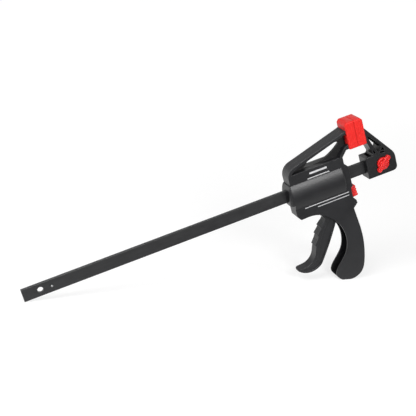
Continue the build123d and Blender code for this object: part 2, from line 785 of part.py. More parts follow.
with BuildPart() as fixed_jaw:
    add(jaw_block.part)
    for side in (1, -1):
        for hollow in (window_face, heel_face, upper_heel, lower_heel):
            face = Pos(0, -side * jaw_web_half, 0) * hollow.sketch
            extrude(face, amount=side * jaw_half, mode=Mode.SUBTRACT)
    extrude(window_hole.sketch, amount=jaw_half, both=True, mode=Mode.SUBTRACT)
    # tip that carries the pad
    with Locations(((-post_front - post_back) / 2, 0, (post_top + pad_foot + 1) / 2)):
        Box(-post_back + post_front, 2 * post_half, post_top - pad_foot - 1)
    # hollow in the roof of the block
    with Locations(((roof_hollow_left + roof_hollow_right) / 2, 0, jaw_roof)):
        Box(
            roof_hollow_right - roof_hollow_left, 2 * (jaw_half - 3), 2 * roof_hollow_depth,
            mode=Mode.SUBTRACT,
        )
    # passage of the bar and the seat of the lock
    with Locations(((jaw_left + jaw_right) / 2, 0, 0)):
        Box(
            jaw_right - jaw_left + 10, bar_thick + 2 * fit_gap, bar_height + 2 * fit_gap,
            mode=Mode.SUBTRACT,
        )
    with BuildSketch(Plane.XZ.offset(jaw_half - knob_recess)):
        with Locations((knob_x, 0)):
            Circle(knob_recess_radius)
    extrude(amount=knob_recess + 1, mode=Mode.SUBTRACT)
    with BuildSketch(Plane.XZ):
        with Locations((knob_x, 0)):
            Circle(sleeve_radius + pin_gap)
    extrude(amount=jaw_half, mode=Mode.SUBTRACT)
save(fixed_jaw, "fixed_jaw")


# lock of the fixed jaw

recess_floor = jaw_half - knob_recess
flange_top = recess_floor + fit_gap + knob_flange
disc_top = jaw_half + knob_proud
wing_top = jaw_half + wing_proud

with BuildPart() as lock_knob:
    with BuildSketch(Plane.XZ.offset(bar_thick / 2 + run_gap)):
        with Locations((knob_x, 0)):
            Circle(sleeve_radius)
    extrude(amount=recess_floor - bar_thick / 2)
    with BuildSketch(Plane.XZ.offset(recess_floor + fit_gap)):
        with Locations((knob_x, 0)):
            Circle(knob_radius + 0.9)
    extrude(amount=knob_flange)
    with BuildSketch(Plane.XZ.offset(flange_top)):
        with Locations((knob_x, 0)):
            Circle(knob_radius)
    extrude(amount=disc_top - flange_top)
    fillet(lock_knob.edges().group_by(Axis.Y)[0], 1)
    with BuildSketch(Plane.XZ.offset(jaw_half + run_gap)):
        with Locations(Location((knob_x, 0), wing_angle)):
            SlotOverall(wing_length, wing_width)
    extrude(amount=wing_proud - run_gap)
    fillet(lock_knob.edges().group_by(Axis.Y)[0], 1)
    with BuildSketch(Plane.XZ):
        with Locations((knob_x, 0)):
            Circle(lock_pin_radius + pin_gap)
    extrude(amount=wing_top - knob_roof, mode=Mode.SUBTRACT)
save(lock_knob, "lock_knob")

with BuildPart() as knob_ring:
    with BuildSketch(Plane.XZ.offset(flange_top + fit_gap)):
        with Locations((knob_x, 0)):
            Circle(knob_recess_radius - pin_gap)
            Circle(knob_radius + 0.2, mode=Mode.SUBTRACT)
    extrude(amount=0.8)
save(knob_ring, "knob_retaining_ring")

pin_step = wing_top - knob_roof - lock_end_gap - lock_stroke - lock_stem
with BuildPart() as lock_pin:
    with BuildSketch(Plane.XZ.offset(-bar_thick / 2 + fit_gap)):
        with Locations((knob_x, 0)):
            Circle(lock_pin_radius)
    extrude(amount=bar_thick / 2 - fit_gap + pin_step)
    with BuildSketch(Plane.XZ.offset(pin_step)):
        with Locations((knob_x, 0)):
            Circle(lock_stem_radius)
    extrude(amount=lock_stem)
save(lock_pin, "lock_pin")

lock_spring_end = wing_top - knob_roof - lock_wire / 2 - fit_gap
lock_spring = coil_spring(
    (knob_x, -pin_step - lock_wire / 2 - fit_gap, 0), lock_spring_end - pin_step - lock_wire / 2 - fit_gap,
    lock_coil_radius, lock_wire, lock_turns, (0, -1, 0),
)
save(lock_spring, "lock_spring")
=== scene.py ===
from math import cos, radians, sin

import bpy
import numpy as np
from mathutils import Matrix, Vector


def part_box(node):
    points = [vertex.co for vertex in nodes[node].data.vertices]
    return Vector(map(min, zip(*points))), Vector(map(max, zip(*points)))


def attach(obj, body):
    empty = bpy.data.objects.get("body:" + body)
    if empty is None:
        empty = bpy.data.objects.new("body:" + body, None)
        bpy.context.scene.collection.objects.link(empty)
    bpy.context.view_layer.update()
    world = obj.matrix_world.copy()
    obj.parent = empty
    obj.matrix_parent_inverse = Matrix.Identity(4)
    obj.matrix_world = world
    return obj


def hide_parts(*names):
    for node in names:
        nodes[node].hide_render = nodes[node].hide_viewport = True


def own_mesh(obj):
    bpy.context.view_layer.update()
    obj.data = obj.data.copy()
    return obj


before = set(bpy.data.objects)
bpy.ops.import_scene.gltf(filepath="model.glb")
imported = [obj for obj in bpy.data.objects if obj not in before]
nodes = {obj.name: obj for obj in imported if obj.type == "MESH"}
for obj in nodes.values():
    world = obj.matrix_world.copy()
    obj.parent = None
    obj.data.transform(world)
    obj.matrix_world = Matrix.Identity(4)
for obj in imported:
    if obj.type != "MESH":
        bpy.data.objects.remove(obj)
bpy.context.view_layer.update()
print("frame loaded")


# camera: it stands off the aim point along its own back axis, and leans by its roll
cameraPlan = {
    "lens": 85.13, "sensor": 36.0, "azimuth": -11.85, "elevation": 22.23, "roll": 15.94,
    "aim": (-0.22096, 0.0, 0.02425), "distance": 1.3083,
}


def addObject(name, data):
    obj = bpy.data.objects.new(name, data)
    bpy.context.scene.collection.objects.link(obj)
    return obj


def addCamera(plan):
    a, e, r = (radians(plan[k]) for k in ("azimuth", "elevation", "roll"))
    back = Vector((sin(a) * cos(e), -cos(a) * cos(e), sin(e)))
    right = Vector((cos(a), sin(a), 0))
    up = back.cross(right)
    columns = (cos(r) * right - sin(r) * up, sin(r) * right + cos(r) * up, back)
    data = bpy.data.cameras.new("camera")
    data.lens = plan["lens"]
    data.sensor_width = plan["sensor"]
    obj = addObject("camera", data)
    place = Vector(plan["aim"]) + plan["distance"] * back
    obj.matrix_world = Matrix.Translation(place) @ Matrix(columns).transposed().to_4x4()
    bpy.context.scene.camera = obj


addCamera(cameraPlan)
bpy.context.scene.view_settings.view_transform = "Standard"


# node building
def newMaterial(name):
    mat = bpy.data.materials.new(name)
    mat.use_nodes = True
    tree = mat.node_tree
    tree.nodes.clear()
    return mat, tree


def setSocket(tree, socket, value):
    if isinstance(value, bpy.types.NodeSocket):
        tree.links.new(value, socket)
    elif isinstance(value, (tuple, list)) and len(value) == 3 and socket.type == "RGBA":
        socket.default_value = (*value, 1)
    else:
        socket.default_value = value


def addNode(tree, kind, settings=None, **sockets):
    # sockets are named with _ for a space, or i0, i1 by place, and take a value or an output to link
    node = tree.nodes.new(kind)
    for key, value in (settings or {}).items():
        setattr(node, key, value)
    for key, value in sockets.items():
        byPlace = key[0] == "i" and key[1:].isdigit()
        socket = node.inputs[int(key[1:])] if byPlace else node.inputs[key.replace("_", " ")]
        setSocket(tree, socket, value)
    return node


def ramp(tree, value, stops):
    node = addNode(tree, "ShaderNodeValToRGB", Fac=value)
    for end, (place, colour) in zip(node.color_ramp.elements, stops, strict=True):
        end.position = place
        end.color = (*colour, 1)
    return node.outputs["Color"]


def maths(tree, operation, a, b=0.0, clamp=False):
    settings = {"operation": operation, "use_clamp": clamp}
    return addNode(tree, "ShaderNodeMath", settings, i0=a, i1=b).outputs[0]


# a and b added up, a by its share and b by the rest
def weighed(tree, share, a, b):
    return maths(tree, "ADD", maths(tree, "MULTIPLY", a, share), maths(tree, "MULTIPLY", b, 1 - share))


def spread(tree, value, low, high, outLow=0.0, outHigh=1.0):
    sockets = {"Value": value, "From_Min": low, "From_Max": high, "To_Min": outLow, "To_Max": outHigh}
    return addNode(tree, "ShaderNodeMapRange", **sockets).outputs[0]


def mixColour(tree, share, a, b):
    return addNode(tree, "ShaderNodeMix", {"data_type": "RGBA"}, i0=share, i6=a, i7=b).outputs[2]


def mixShader(tree, share, a, b):
    return addNode(tree, "ShaderNodeMixShader", i0=share, i1=a, i2=b).outputs[0]


# seen is for the camera, also through clear things, mirrored for glossy surfaces, plain for the rest
def byRay(tree, seen, mirrored, plain):
    path = addNode(tree, "ShaderNodeLightPath").outputs
    straight = maths(tree, "MAXIMUM", path["Is Camera Ray"], path["Is Transmission Ray"])
    other = mixShader(tree, path["Is Glossy Ray"], plain, mirrored)
    return mixShader(tree, straight, other, seen)


def noise(tree, place, scale, detail, **sockets):
    return addNode(tree, "ShaderNodeTexNoise", Vector=place, Scale=scale, Detail=detail, **sockets).outputs[0]


def objectPlace(tree):
    return addNode(tree, "ShaderNodeTexCoord").outputs["Object"]


def normalWay(tree):
    return addNode(tree, "ShaderNodeNewGeometry").outputs["Normal"]


def axes(tree, vector):
    return addNode(tree, "ShaderNodeSeparateXYZ", Vector=vector).outputs


# a group takes numbers by name and gives masks, tones or normals
def newGroup(name, inputs, outputs):
    tree = bpy.data.node_groups.new(name, "ShaderNodeTree")
    for label in inputs:
        tree.interface.new_socket(label, in_out="INPUT", socket_type="NodeSocketFloat")
    for label, kind in outputs.items():
        tree.interface.new_socket(label, in_out="OUTPUT", socket_type=kind)
    return tree, tree.nodes.new("NodeGroupInput").outputs, tree.nodes.new("NodeGroupOutput").inputs


def useGroup(tree, group, **sockets):
    return addNode(tree, "ShaderNodeGroup", {"node_tree": group}, **sockets).outputs


# worn edges and painted highlights: where the rounded normal leans from the true one, broken up by noise; on
# the red plastic the pale edges are painted highlight
edgePlan = {"samples": 8, "gain": 6.0, "detail": 4.0, "broken": (0.4, 0.62), "unit": 0.001}


def edgeWearGroup(plan):
    outputs = {"Mask": "NodeSocketFloat", "Normal": "NodeSocketVector"}
    tree, ins, outs = newGroup("edgeWearAndHighlight", ("Width", "Amount", "Breakup"), outputs)
    width = maths(tree, "MULTIPLY", ins["Width"], plan["unit"])
    rounded = addNode(tree, "ShaderNodeBevel", {"samples": plan["samples"]}, Radius=width).outputs[0]
    dot = addNode(tree, "ShaderNodeVectorMath", {"operation": "DOT_PRODUCT"}, i0=rounded, i1=normalWay(tree))
    lean = maths(tree, "SUBTRACT", 1.0, dot.outputs["Value"])
    lean = maths(tree, "MULTIPLY", lean, plan["gain"], clamp=True)
    breaks = noise(tree, objectPlace(tree), ins["Breakup"], plan["detail"])
    wornAndHighlitEdge = maths(tree, "MULTIPLY", lean, spread(tree, breaks, *plan["broken"]))
    setSocket(tree, outs["Mask"], maths(tree, "MULTIPLY", wornAndHighlitEdge, ins["Amount"], clamp=True))
    setSocket(tree, outs["Normal"], rounded)
    return tree


# moulded grain: a fine spark texture with slow waviness, as a height and a tone
grainPlan = {
    "perMetre": 1000.0, "detail": 2.0, "roughness": 0.6, "slowScale": 45.0, "slowDetail": 3.0,
    "fineInHeight": 0.7, "fineInTone": 0.4,
}


def mouldGrainGroup(plan):
    outputs = {"Height": "NodeSocketFloat", "Tone": "NodeSocketFloat"}
    tree, ins, outs = newGroup("mouldGrain", ("Size",), outputs)
    place = objectPlace(tree)
    scale = maths(tree, "DIVIDE", plan["perMetre"], ins["Size"])
    fine = noise(tree, place, scale, plan["detail"], Roughness=plan["roughness"])
    pits = addNode(tree, "ShaderNodeTexVoronoi", Vector=place, Scale=scale).outputs["Distance"]
    slow = noise(tree, place, plan["slowScale"], plan["slowDetail"])
    setSocket(tree, outs["Height"], weighed(tree, plan["fineInHeight"], fine, pits))
    setSocket(tree, outs["Tone"], weighed(tree, plan["fineInTone"], fine, slow))
    return tree


edgeWearAndHighlight = edgeWearGroup(edgePlan)
mouldGrain = mouldGrainGroup(grainPlan)


def surface(tree, **sockets):
    shader = addNode(tree, "ShaderNodeBsdfPrincipled", **sockets)
    tree.links.new(shader.outputs[0], addNode(tree, "ShaderNodeOutputMaterial").inputs[0])


def bumped(tree, strength, distance, height, normal):
    sockets = {"Strength": strength, "Distance": distance, "Height": height, "Normal": normal}
    return addNode(tree, "ShaderNodeBump", **sockets).outputs[0]


# plain printed stripes on the flat panels of the body: spans in x and z, each with a soft border
stripePlan = {
    "soft": 0.00015, "ink": (0.50, 0.50, 0.51), "facing": (-0.9, -0.99),
    "boxes": [
        ((-0.0933, -0.0266), (-0.0227, -0.0216)), ((-0.0752, -0.0270), (-0.0270, -0.0260)),
        ((-0.0765, -0.0505), (0.0234, 0.0260)), ((-0.0808, -0.0482), (0.0174, 0.0187)),
    ],
}


def panelStripes(tree):
    place, soft = axes(tree, objectPlace(tree)), stripePlan["soft"]

    def inside(axis, low, high):
        after = spread(tree, place[axis], low - soft, low + soft)
        before = spread(tree, place[axis], high + soft, high - soft)
        return maths(tree, "MULTIPLY", after, before)

    total = 0.0
    for spanX, spanZ in stripePlan["boxes"]:
        ink = maths(tree, "MULTIPLY", inside("X", *spanX), inside("Z", *spanZ))
        total = maths(tree, "MAXIMUM", total, ink)
    facing = spread(tree, axes(tree, normalWay(tree))["Y"], *stripePlan["facing"])
    return maths(tree, "MULTIPLY", total, facing)


# what every moulded plastic shares: where its two tones lie, how its gloss varies, the depth of its
# grain, and which faces count as the floor of a sunk side, where shade is painted
plasticPlan = {
    "tones": (0.3, 0.7), "glossFrom": -0.05, "glossTo": 0.06, "breakup": 90.0, "relief": 0.00006,
    "ior": 1.5, "facing": (0.5, 0.8), "dullRough": 0.25,
}


# painted shade mask: 1 on side faces that lie nearer to the middle plane than full, 0 past none
def paintedShadeMask(tree, full, none):
    away = maths(tree, "ABSOLUTE", axes(tree, objectPlace(tree))["Y"])
    side = maths(tree, "ABSOLUTE", axes(tree, normalWay(tree))["Y"])
    return maths(tree, "MULTIPLY", spread(tree, away, none, full), spread(tree, side, *plasticPlan["facing"]))


# moulded plastic: the base varies a little, edges are rounded and paler, as wear and on the red plastic as a
# painted highlight, grain shows in the gloss
def plastic(name, look, marks=None):
    mat, tree = newMaterial(name)
    plan = plasticPlan
    low, high = plan["tones"]
    grain = useGroup(tree, mouldGrain, Size=look["grain"])
    wearAndHighlight = useGroup(tree, edgeWearAndHighlight, Width=look["edge"], Amount=look["wearAndHighlight"], Breakup=plan["breakup"])
    base = ramp(tree, grain["Tone"], [(low, look["low"]), (high, look["high"])])
    colour = mixColour(tree, wearAndHighlight["Mask"], base, look["wornAndHighlitEdge"])
    gloss = (look["rough"] + plan["glossFrom"], look["rough"] + plan["glossTo"])
    rough = spread(tree, grain["Tone"], low, high, *gloss)
    if marks:
        colour = mixColour(tree, marks(tree), colour, stripePlan["ink"])
    if "sunk" in look:
        # painted shade on the floors of the sunk sides: a darker, less glossy tone standing in for the shade
        # that falls in these recesses
        floor = paintedShadeMask(tree, *look["sunk"])
        colour = mixColour(tree, floor, colour, look["paintedShadeTone"])
        rough = maths(tree, "ADD", rough, maths(tree, "MULTIPLY", floor, plan["dullRough"]), clamp=True)
    normal = bumped(tree, look["bump"], plan["relief"], grain["Height"], wearAndHighlight["Normal"])
    surface(tree, Base_Color=colour, Roughness=rough, Normal=normal, IOR=look.get("ior", plan["ior"]))
    return mat


# what every steel shares
steelPlan = {
    "tones": (0.35, 0.65), "glossTones": (0.3, 0.7), "glossFrom": -0.06, "glossTo": 0.08, "breakup": 140.0,
    "relief": 0.00003, "lineDetail": 3.0, "stainScale": 70.0, "stainDetail": 5.0, "lineShare": 0.6,
}


# steel: brushed along one axis, with darker stains and brighter edges
def steel(name, look):
    mat, tree = newMaterial(name)
    plan = steelPlan
    low, high = plan["tones"]
    place = objectPlace(tree)
    stretched = addNode(tree, "ShaderNodeMapping", i0=place, Scale=look["stretch"]).outputs[0]
    lines = noise(tree, stretched, 1.0, plan["lineDetail"])
    stains = noise(tree, place, plan["stainScale"], plan["stainDetail"])
    wearAndHighlight = useGroup(tree, edgeWearAndHighlight, Width=look["edge"], Amount=look["wearAndHighlight"], Breakup=plan["breakup"])
    tone = weighed(tree, plan["lineShare"], lines, stains)
    base = ramp(tree, tone, [(low, look["low"]), (high, look["high"])])
    colour = mixColour(tree, wearAndHighlight["Mask"], base, look["wornAndHighlitEdge"])
    gloss = (look["rough"] + plan["glossFrom"], look["rough"] + plan["glossTo"])
    rough = spread(tree, tone, *plan["glossTones"], *gloss)
    normal = bumped(tree, look["bump"], plan["relief"], lines, wearAndHighlight["Normal"])
    surface(tree, Base_Color=colour, Roughness=rough, Metallic=look["metal"], Normal=normal)
    return mat


plasticLooks = {
    "charcoalNylon": {
        "low": (0.0075, 0.0076, 0.0088), "high": (0.0120, 0.0122, 0.0140), "wornAndHighlitEdge": (0.06, 0.061, 0.066),
        "rough": 0.38, "grain": 0.45, "bump": 0.35, "wearAndHighlight": 0.6, "edge": 0.7,
        # the dark tone after sunk is painted shade on the floors of the sunk sides
        "sunk": (0.0044, 0.0052), "paintedShadeTone": (0.0012, 0.0012, 0.0015),
    },
    "blackNylon": {
        "low": (0.0055, 0.0056, 0.0064), "high": (0.0090, 0.0092, 0.0105), "wornAndHighlitEdge": (0.05, 0.05, 0.055),
        "rough": 0.36, "grain": 0.45, "bump": 0.35, "wearAndHighlight": 0.6, "edge": 0.7,
        # the dark tone after sunk is painted shade on the floors of the sunk sides
        "sunk": (0.0044, 0.0052), "paintedShadeTone": (0.0012, 0.0012, 0.0015),
    },
    "redRubber": {
        "low": (0.60, 0.012, 0.009), "high": (0.68, 0.018, 0.014), "wornAndHighlitEdge": (0.86, 0.14, 0.12),
        "rough": 0.40, "grain": 0.6, "bump": 0.15, "wearAndHighlight": 0.5, "edge": 0.9, "ior": 1.36,
    },
    "redPlastic": {
        # the pale pink tone on its rounded edges is a painted highlight along the rims
        "low": (0.56, 0.009, 0.009), "high": (0.66, 0.015, 0.014), "wornAndHighlitEdge": (0.90, 0.22, 0.21),
        "rough": 0.26, "grain": 0.5, "bump": 0.12, "wearAndHighlight": 0.9, "edge": 0.5,
    },
}
steelLooks = {
    "blackenedBar": {
        "low": (0.010, 0.0102, 0.011), "high": (0.017, 0.0173, 0.0185), "wornAndHighlitEdge": (0.16, 0.16, 0.165),
        "rough": 0.42, "bump": 0.25, "metal": 0.0, "wearAndHighlight": 0.35, "edge": 0.35, "stretch": (30, 900, 900),
    },
    "hardenedPlate": {
        "low": (0.30, 0.30, 0.31), "high": (0.42, 0.42, 0.43), "wornAndHighlitEdge": (0.6, 0.6, 0.6),
        "rough": 0.38, "bump": 0.3, "metal": 1.0, "wearAndHighlight": 0.5, "edge": 0.3, "stretch": (900, 60, 900),
    },
    "springWire": {
        "low": (0.34, 0.34, 0.35), "high": (0.48, 0.48, 0.49), "wornAndHighlitEdge": (0.65, 0.65, 0.65),
        "rough": 0.3, "bump": 0.2, "metal": 1.0, "wearAndHighlight": 0.2, "edge": 0.2, "stretch": (900, 200, 200),
    },
    "groundPin": {
        "low": (0.42, 0.42, 0.43), "high": (0.56, 0.56, 0.57), "wornAndHighlitEdge": (0.7, 0.7, 0.7),
        "rough": 0.28, "bump": 0.2, "metal": 1.0, "wearAndHighlight": 0.3, "edge": 0.2, "stretch": (400, 900, 400),
    },
    "zincScrew": {
        "low": (0.36, 0.36, 0.35), "high": (0.5, 0.5, 0.49), "wornAndHighlitEdge": (0.62, 0.62, 0.62),
        "rough": 0.36, "bump": 0.25, "metal": 1.0, "wearAndHighlight": 0.4, "edge": 0.2, "stretch": (700, 700, 700),
    },
}
materials = {name: plastic(name, look) for name, look in plasticLooks.items()}
materials["printedNylon"] = plastic("printedNylon", plasticLooks["charcoalNylon"], panelStripes)
materials.update({name: steel(name, look) for name, look in steelLooks.items()})
print("materials made")

finishOf = {
    "near_shell": "printedNylon", "far_shell": "charcoalNylon", "trigger": "charcoalNylon",
    "fixed_jaw": "blackNylon", "knob_retaining_ring": "blackNylon", "release_button": "redPlastic",
    "bar": "blackenedBar", "stop_pin": "groundPin", "trigger_pin": "groundPin", "button_rivet": "groundPin",
    "lock_pin": "groundPin", "shell_screws": "zincScrew", "front_driving_lever": "hardenedPlate",
    "back_driving_lever": "hardenedPlate", "brake_lever": "hardenedPlate",
    "drive_spring": "springWire", "brake_spring": "springWire", "lock_spring": "springWire",
}
for node, finish in finishOf.items():
    nodes[node].data.materials.clear()
    nodes[node].data.materials.append(materials[finish])


# surfaces: a piece is a stack of closed loops, rows x points x 3, capped by fans at its ends, or with
# its last loop joined to its first where it has a bore
def stackFaces(rows, bored):
    count, size = rows.shape[:2]
    start = np.arange(count if bored else count - 1)[:, None] * size
    upper = (start + size) % (count * size)
    here = np.arange(size)[None, :]
    after = (here + 1) % size
    quads = np.stack([start + here, start + after, upper + after, upper + here], -1).reshape(-1, 4)
    if bored:
        return rows.reshape(-1, 3), quads, np.empty((0, 3), int)
    points = np.concatenate([rows.reshape(-1, 3), rows[:1].mean(1), rows[-1:].mean(1)])
    first, last, top = count * size, count * size + 1, (count - 1) * size
    bottomFan = np.stack([np.full(size, first), after[0], here[0]], -1)
    topFan = np.stack([np.full(size, last), top + here[0], top + after[0]], -1)
    return points, quads, np.concatenate([bottomFan, topFan])


# signed volume by the divergence theorem, a sixth of the sum of triple products
def signedVolume(points, triangles):
    a, b, c = (points[triangles[:, k]] for k in range(3))
    return float(np.einsum("ij,ij->i", a, np.cross(b, c)).sum()) / 6


# edges that turn by more than this many degrees stay sharp
sharpEdge = 50.0


def makePiece(name, stacks, finish, body, replaced, bored=()):
    # bored holds the places of the stacks that have a bore
    points, quads, fans, offset = [], [], [], 0
    for place, rows in enumerate(stacks):
        p, q, f = stackFaces(rows, place in bored)
        triangles = np.concatenate([q[:, [0, 1, 2]], q[:, [0, 2, 3]], f])
        turn = -1 if signedVolume(p - p.mean(0), triangles) < 0 else 1
        points.append(p)
        quads.append(q[:, ::turn] + offset)
        fans.append(f[:, ::turn] + offset)
        offset += len(p)
    mesh = bpy.data.meshes.new(name)
    faces = np.concatenate(quads).tolist() + np.concatenate(fans).tolist()
    mesh.from_pydata(np.concatenate(points).tolist(), [], faces)
    mesh.shade_smooth()
    mesh.set_sharp_from_angle(angle=radians(sharpEdge))
    mesh.materials.append(materials[finish])
    obj = addObject(name, mesh)
    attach(obj, body)
    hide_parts(*replaced)


# points and outward normals of a rectangle with round corners, counterclockwise: a corner is its centre
# plus its radius times the directions of a quarter turn, and straight runs join the corners
def roundedLoop(low, high, radius, straight, arc):
    turns = np.linspace(0, np.pi / 2, arc)
    spots, ways = [], []
    for k, (sx, sy) in enumerate(((1, 1), (0, 1), (0, 0), (1, 0))):
        centre = np.array([
            high[0] - radius[k] if sx else low[0] + radius[k],
            high[1] - radius[k] if sy else low[1] + radius[k],
        ])
        angle = turns + k * np.pi / 2
        way = np.stack([np.cos(angle), np.sin(angle)], -1)
        spots.append(centre + radius[k] * way)
        ways.append(way)
    loop, normal = [], []
    share = np.linspace(0, 1, straight + 2)[1:-1, None]
    for k in range(4):
        end, start = spots[k][-1], spots[(k + 1) % 4][0]
        loop += [spots[k], end + share * (start - end)]
        normal += [ways[k], np.repeat(ways[k][-1:], straight, 0)]
    return np.concatenate(loop), np.concatenate(normal)


# a quarter round seen in section, as shares of its radius: how far in, and how far below its top
def quarter(levels):
    return [(1 - cos(turn), 1 - sin(turn)) for turn in np.linspace(0, np.pi / 2, levels)]


# pads: caps with a flat clamping face, round outer edges, a bevel along the back of the top and
# shallow grooves down their sides
padPlan = {
    "round": 0.0017, "roundLevels": 11, "faceShare": 0.14, "cornerBack": 0.0026, "cornerFace": 0.0006,
    "cornerLeast": 0.0002, "foot": 0.0008, "footLevels": 5, "wall": 0.0019, "hollow": 0.0022, "lip": 0.0003,
    "bevel": 0.0034, "bevelRun": 0.9, "grooves": (0.36, 0.74), "grooveDepth": 0.0003, "grooveHalf": 0.0006,
    "grooveFade": 8.0, "flatFrom": 0.75, "straight": 56, "arc": 9, "wallStart": 0.04, "wallLevels": 30,
}


# rings from inside the cap out round its foot, up the wall and in over the top; a groove is a bell curve
# along the depth, cut in along the normal where the side is flat
def padCap(name, node, faceSide, body, plan):
    low, high = (np.array(corner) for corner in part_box(node))
    faceX, backX = (high[0], low[0]) if faceSide > 0 else (low[0], high[0])
    base, top, depth = low[2], high[2], high[0] - low[0]
    wall, foot, fillet = plan["wall"], plan["foot"], plan["round"]
    rows = []

    def ring(inset, z, groove=0.0):
        # inset from the outer form, less so at the clamping face, and more at the bevel
        bevel = max(0.0, z - top + plan["bevel"]) * plan["bevelRun"]
        faceInset = inset * plan["faceShare"]
        x = sorted((faceX - faceSide * faceInset, backX + faceSide * max(inset, bevel)))
        least = plan["cornerLeast"]
        face, back = max(least, plan["cornerFace"] - faceInset), max(least, plan["cornerBack"] - inset)
        radius = [face, back, back, face] if faceSide > 0 else [back, face, face, back]
        ends = (x[0], low[1] + inset), (x[1], high[1] - inset)
        loop, way = roundedLoop(*ends, radius, plan["straight"], plan["arc"])
        along = np.abs(loop[:, 0] - faceX)
        flat = np.clip((np.abs(way[:, 1]) - plan["flatFrom"]) / (1 - plan["flatFrom"]), 0, 1)
        dip = sum(np.exp(-(((along - g * depth) / plan["grooveHalf"]) ** 2)) for g in plan["grooves"])
        loop = loop - way * (groove * plan["grooveDepth"] * flat * dip)[:, None]
        rows.append(np.column_stack([loop, np.full(len(loop), z)]))

    ring(wall + foot, base + plan["hollow"])
    ring(wall, base + plan["hollow"])
    ring(wall, base + plan["lip"])
    # the foot's round turns the other way, so its two shares change places
    for inward, below in quarter(plan["footLevels"]):
        ring(foot * below, base + foot * inward)
    for share in np.linspace(plan["wallStart"], 1.0, plan["wallLevels"]):
        fade = max(0.0, min(1.0, plan["grooveFade"] * share, plan["grooveFade"] * (1 - share)))
        ring(0.0, base + foot + share * (top - base - foot - fillet), fade)
    for inward, below in quarter(plan["roundLevels"])[1:]:
        ring(fillet * inward, top - fillet * below)
    makePiece(name, [np.array(rows)], "redRubber", body, [node])


padCap("movingPadCap", "moving_pad", 1, "housing", padPlan)
padCap("fixedPadCap", "fixed_pad", -1, "sliding_bar", padPlan)
print("pads made")


# release button: a rounded block on the brake lever, with ribs across its face that run onto its
# sides, and a bore behind for the rivet
buttonPlan = {
    "back": (-0.02141, -0.02633), "tilt": 6.0, "half": 0.0068, "height": 0.0158, "depth": 0.0086,
    "corner": 0.0011, "round": 0.0016, "roundLevels": 9, "bore": 0.00156, "boreDepth": 0.0038,
    "backShare": 0.96, "backRound": 0.0003, "grooves": (-0.0039, 0.0, 0.0039), "grooveWidth": 0.0011,
    "grooveDepth": 0.0008, "sideShare": 0.6, "sideStart": 0.003, "sideRun": 0.0015, "sideLevels": 14,
    "faceEnd": 0.02, "faceLevels": 12, "straight": 44, "arc": 7,
}


# each row is a loop across the button and how far out it lies, tilted about the back; a groove is a
# bell curve across the height, full on the face and weaker down the sides
def buttonRows(plan):
    half, tall, fillet, depth = plan["half"], plan["height"] / 2, plan["round"], plan["depth"]
    loop, way = roundedLoop((-half, -tall), (half, tall), [plan["corner"]] * 4, plan["straight"], plan["arc"])
    groove = sum(np.exp(-(((loop[:, 1] - g) / plan["grooveWidth"]) ** 2)) for g in plan["grooves"])
    groove = groove * plan["grooveDepth"]
    sideGroove = np.abs(way[:, 0]) * groove * plan["sideShare"]
    turn = np.arctan2(loop[:, 1], loop[:, 0])
    bore = plan["bore"] * np.column_stack([np.cos(turn), np.sin(turn)])
    rows = [(bore, plan["boreDepth"]), (bore, 0.0), (loop * plan["backShare"], 0.0)]
    rows.append((loop, plan["backRound"]))
    for out in np.linspace(plan["sideStart"], depth - fillet, plan["sideLevels"]):
        share = min(1.0, (out - plan["sideStart"]) / plan["sideRun"])
        rows.append((loop - way * (sideGroove * share)[:, None], out))
    for inward, below in quarter(plan["roundLevels"])[1:]:
        inset = fillet * inward + sideGroove * (1 - inward)
        rows.append((loop - way * inset[:, None], depth - fillet * below - groove * (1 - below)))
    for share in np.linspace(1, plan["faceEnd"], plan["faceLevels"])[1:]:
        rows.append(((loop - way * fillet) * [share, 1], depth - groove))
    tilt = radians(plan["tilt"])
    x, z = plan["back"]
    return np.array([
        np.column_stack([
            x + out * cos(tilt) - spot[:, 1] * sin(tilt), spot[:, 0],
            z + out * sin(tilt) + spot[:, 1] * cos(tilt),
        ]) for spot, out in rows
    ])


buttonStacks = [buttonRows(buttonPlan)]
makePiece("releaseButtonCap", buttonStacks, "redPlastic", "brake", ["release_button"])
print("button made")


# turn knob: a disc with a raised rim, and across it a wing with a rim and a pocket at each end
knobPlan = {
    "centre": (0.031, 0.0), "radius": 0.0086, "flange": 0.0095, "sleeve": 0.0046, "points": 192, "arc": 7,
    "floor": 0.0078, "step": 0.0091, "discTop": 0.0134, "dish": 0.0019, "rim": 0.0008, "rimTop": 0.0005,
    "dishWall": (0.0, 0.0002, 0.0006, 0.0009), "dishEase": (0.0001, 0.0002), "inside": 0.0028,
    "wingTop": 0.0156, "wingLength": 0.027, "wingWidth": 0.0066, "wingAngle": 42.0, "wingEdge": 0.0006,
    "wingSeat": 0.0006, "straightness": 1.6, "waist": 0.04, "waistSpread": 3.0, "sink": 0.0015,
    "sinkRim": 0.0006, "sinkWall": ((0.0, 0.0), (0.0001, 0.1), (0.0004, 0.9), (0.0005, 1.0)),
    "sinkEnd": 0.0003, "bridge": (0.0040, 0.0050), "bore": 0.00306, "boreEnd": 0.01445,
}


# the cosine and the sine of each point's turn
def circleOf(plan):
    turn = np.linspace(0, 2 * np.pi, plan["points"], endpoint=False)
    return np.cos(turn), np.sin(turn)


